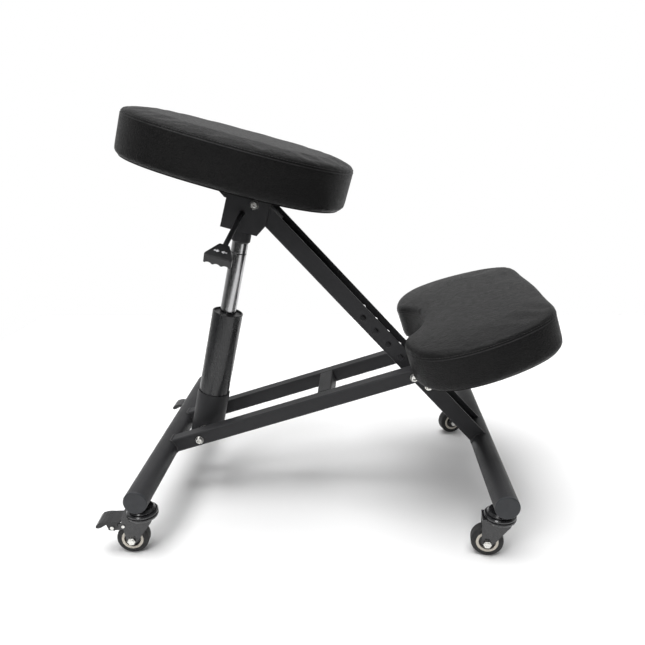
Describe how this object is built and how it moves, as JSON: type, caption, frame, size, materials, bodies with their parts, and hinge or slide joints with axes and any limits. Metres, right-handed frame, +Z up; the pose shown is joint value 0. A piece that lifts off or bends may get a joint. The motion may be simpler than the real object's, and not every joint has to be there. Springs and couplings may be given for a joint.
{
  "type": "kneeling chair",
  "caption": "Kneeling massage chair: oval seat on a gas column, kidney-shaped shin pad and a crossed steel frame on swivel casters, the rear ones with brake pedals.",
  "frame": {"origin": "On the floor, under the middle of the chair's bounding box.", "axes": "+X forwards, from the seat towards the shin pad; +Y to the sitter's left, along both foot tubes; +Z up. The lift lever is on the right (-Y) side."},
  "size_m": [0.7274, 0.485, 0.6823],
  "materials": {
    "frame_black": "satin black powder coat",
    "zinc": "bright zinc plate",
    "chrome": "polished chrome",
    "cap_grey": "dark grey moulded plastic",
    "plastic_black": "black moulded plastic, fine texture",
    "bush_white": "natural acetal",
    "caster_black": "gloss black coating",
    "tyre_black": "black rubber tread",
    "hub_cream": "cream moulded plastic",
    "leather_black": "black grained upholstery leather over foam",
    "plywood": "bare birch plywood"
  },
  "bodies": {
    "base_frame": {"rear_foot_tube": "frame_black", "rear_tube_caps": "cap_grey", "right_rail": "frame_black", "left_rail": "frame_black", "rail_cross_bar": "frame_black", "rail_end_plugs": "cap_grey", "lower_pivot_bolt": "zinc", "front_pivot_bolt": "zinc", "front_pivot_spacers": "zinc", "rear_caster_stems": "caster_black"},
    "gas_column": {"column_socket": "frame_black", "column_pivot_tube": "zinc", "gas_outer_tube": "frame_black", "guide_bush": "bush_white", "piston_rod": "chrome", "rod_clip": "zinc", "thrust_bearing": "zinc"},
    "seat_assembly": {"gas_cylinder": "chrome", "cone_hub": "frame_black", "seat_bracket": "frame_black", "seat_mount_plate": "frame_black", "seat_plate_bolts": "zinc", "seat_tee_nuts": "zinc", "seat_board": "plywood", "seat_cushion": "leather_black", "seat_pivot_bolt": "zinc", "seat_pivot_spacer": "zinc"},
    "lift_lever": {"lift_lever_rod": "frame_black", "lift_lever_grip": "plastic_black"},
    "release_pin_body": {"release_pin": "zinc"},
    "front_frame": {"diagonal_channel": "frame_black", "channel_top_cover": "frame_black", "front_pivot_bushes": "bush_white", "front_foot_tube": "frame_black", "front_tube_caps": "cap_grey", "knee_bracket": "frame_black", "knee_bracket_bolts": "zinc", "knee_plate_bolts": "zinc", "knee_tee_nuts": "zinc", "knee_board": "plywood", "knee_cushion": "leather_black", "front_caster_stems": "caster_black"},
    "rear_right_caster": {"rear_right_fork": "caster_black", "rear_right_axle": "zinc"},
    "rear_right_wheel": {"rear_right_tyre": "tyre_black", "rear_right_hub": "hub_cream"},
    "rear_left_caster": {"rear_left_fork": "caster_black", "rear_left_axle": "zinc"},
    "rear_left_wheel": {"rear_left_tyre": "tyre_black", "rear_left_hub": "hub_cream"},
    "front_right_caster": {"front_right_fork": "caster_black", "front_right_axle": "zinc"},
    "front_right_wheel": {"front_right_tyre": "tyre_black", "front_right_hub": "hub_cream"},
    "front_left_caster": {"front_left_fork": "caster_black", "front_left_axle": "zinc"},
    "front_left_wheel": {"front_left_tyre": "tyre_black", "front_left_hub": "hub_cream"},
    "rear_right_brake_pedal": {"rear_right_brake": "plastic_black"},
    "rear_left_brake_pedal": {"rear_left_brake": "plastic_black"}
  },
  "joints": [
    {"name": "seat_lift", "type": "slide", "parent": "gas_column", "child": "seat_assembly", "axis": [0.2284, 0, 0.9736], "range_m": [-0.12, 0]},
    {"name": "column_pivot", "type": "hinge", "parent": "base_frame", "child": "gas_column", "pos_m": [-0.23263, 0, 0.1165], "axis": [0, -1, 0], "range_deg": [0, 10.7]},
    {"name": "front_frame_pivot", "type": "hinge", "parent": "base_frame", "child": "front_frame", "pos_m": [0.14247, 0, 0.23605], "axis": [0, -1, 0], "range_deg": [0, 20.2]},
    {"name": "lever_press", "type": "hinge", "parent": "seat_assembly", "child": "lift_lever", "pos_m": [-0.14038, -0.03775, 0.50982], "axis": [-0.9736, 0, 0.2284], "range_deg": [0, 7], "stiffness_Nm_per_rad": 1.2, "springref_deg": -8.59},
    {"name": "release_pin_press", "type": "slide", "parent": "seat_assembly", "child": "release_pin_body", "axis": [0.2284, 0, 0.9736], "range_m": [-0.005, 0]},
    {"name": "rear_right_swivel", "type": "hinge", "parent": "base_frame", "child": "rear_right_caster", "pos_m": [-0.2918, -0.218, 0.067], "axis": [0, 0, 1], "continuous": true},
    {"name": "rear_right_roll", "type": "hinge", "parent": "rear_right_caster", "child": "rear_right_wheel", "pos_m": [-0.30936, -0.21923, 0.025], "axis": [-0.0698, 0.9976, 0], "continuous": true},
    {"name": "rear_left_swivel", "type": "hinge", "parent": "base_frame", "child": "rear_left_caster", "pos_m": [-0.2918, 0.218, 0.067], "axis": [0, 0, 1], "continuous": true},
    {"name": "rear_left_roll", "type": "hinge", "parent": "rear_left_caster", "child": "rear_left_wheel", "pos_m": [-0.3094, 0.218, 0.025], "axis": [0, 1, 0], "continuous": true},
    {"name": "front_right_swivel", "type": "hinge", "parent": "front_frame", "child": "front_right_caster", "pos_m": [0.265, -0.214, 0.067], "axis": [0, 0, 1], "continuous": true},
    {"name": "front_right_roll", "type": "hinge", "parent": "front_right_caster", "child": "front_right_wheel", "pos_m": [0.24753, -0.21186, 0.025], "axis": [0.1219, 0.9925, 0], "continuous": true},
    {"name": "front_left_swivel", "type": "hinge", "parent": "front_frame", "child": "front_left_caster", "pos_m": [0.265, 0.214, 0.067], "axis": [0, 0, 1], "continuous": true},
    {"name": "front_left_roll", "type": "hinge", "parent": "front_left_caster", "child": "front_left_wheel", "pos_m": [0.24826, 0.20856, 0.025], "axis": [-0.309, 0.9511, 0], "continuous": true},
    {"name": "rear_right_brake_press", "type": "hinge", "parent": "rear_right_caster", "child": "rear_right_brake_pedal", "pos_m": [-0.33689, -0.22115, 0.0505], "axis": [0.0698, -0.9976, 0], "range_deg": [0, 20]},
    {"name": "rear_left_brake_press", "type": "hinge", "parent": "rear_left_caster", "child": "rear_left_brake_pedal", "pos_m": [-0.337, 0.218, 0.0505], "axis": [0, -1, 0], "range_deg": [0, 20]}
  ],
  "couplings": [
    {"joint": "column_pivot", "follows": "seat_lift", "rad_per_m": -1.541},
    {"joint": "front_frame_pivot", "follows": "seat_lift", "rad_per_m": -2.911},
    {"joint": "release_pin_press", "follows": "lever_press", "m_per_rad": -0.038}
  ]
}
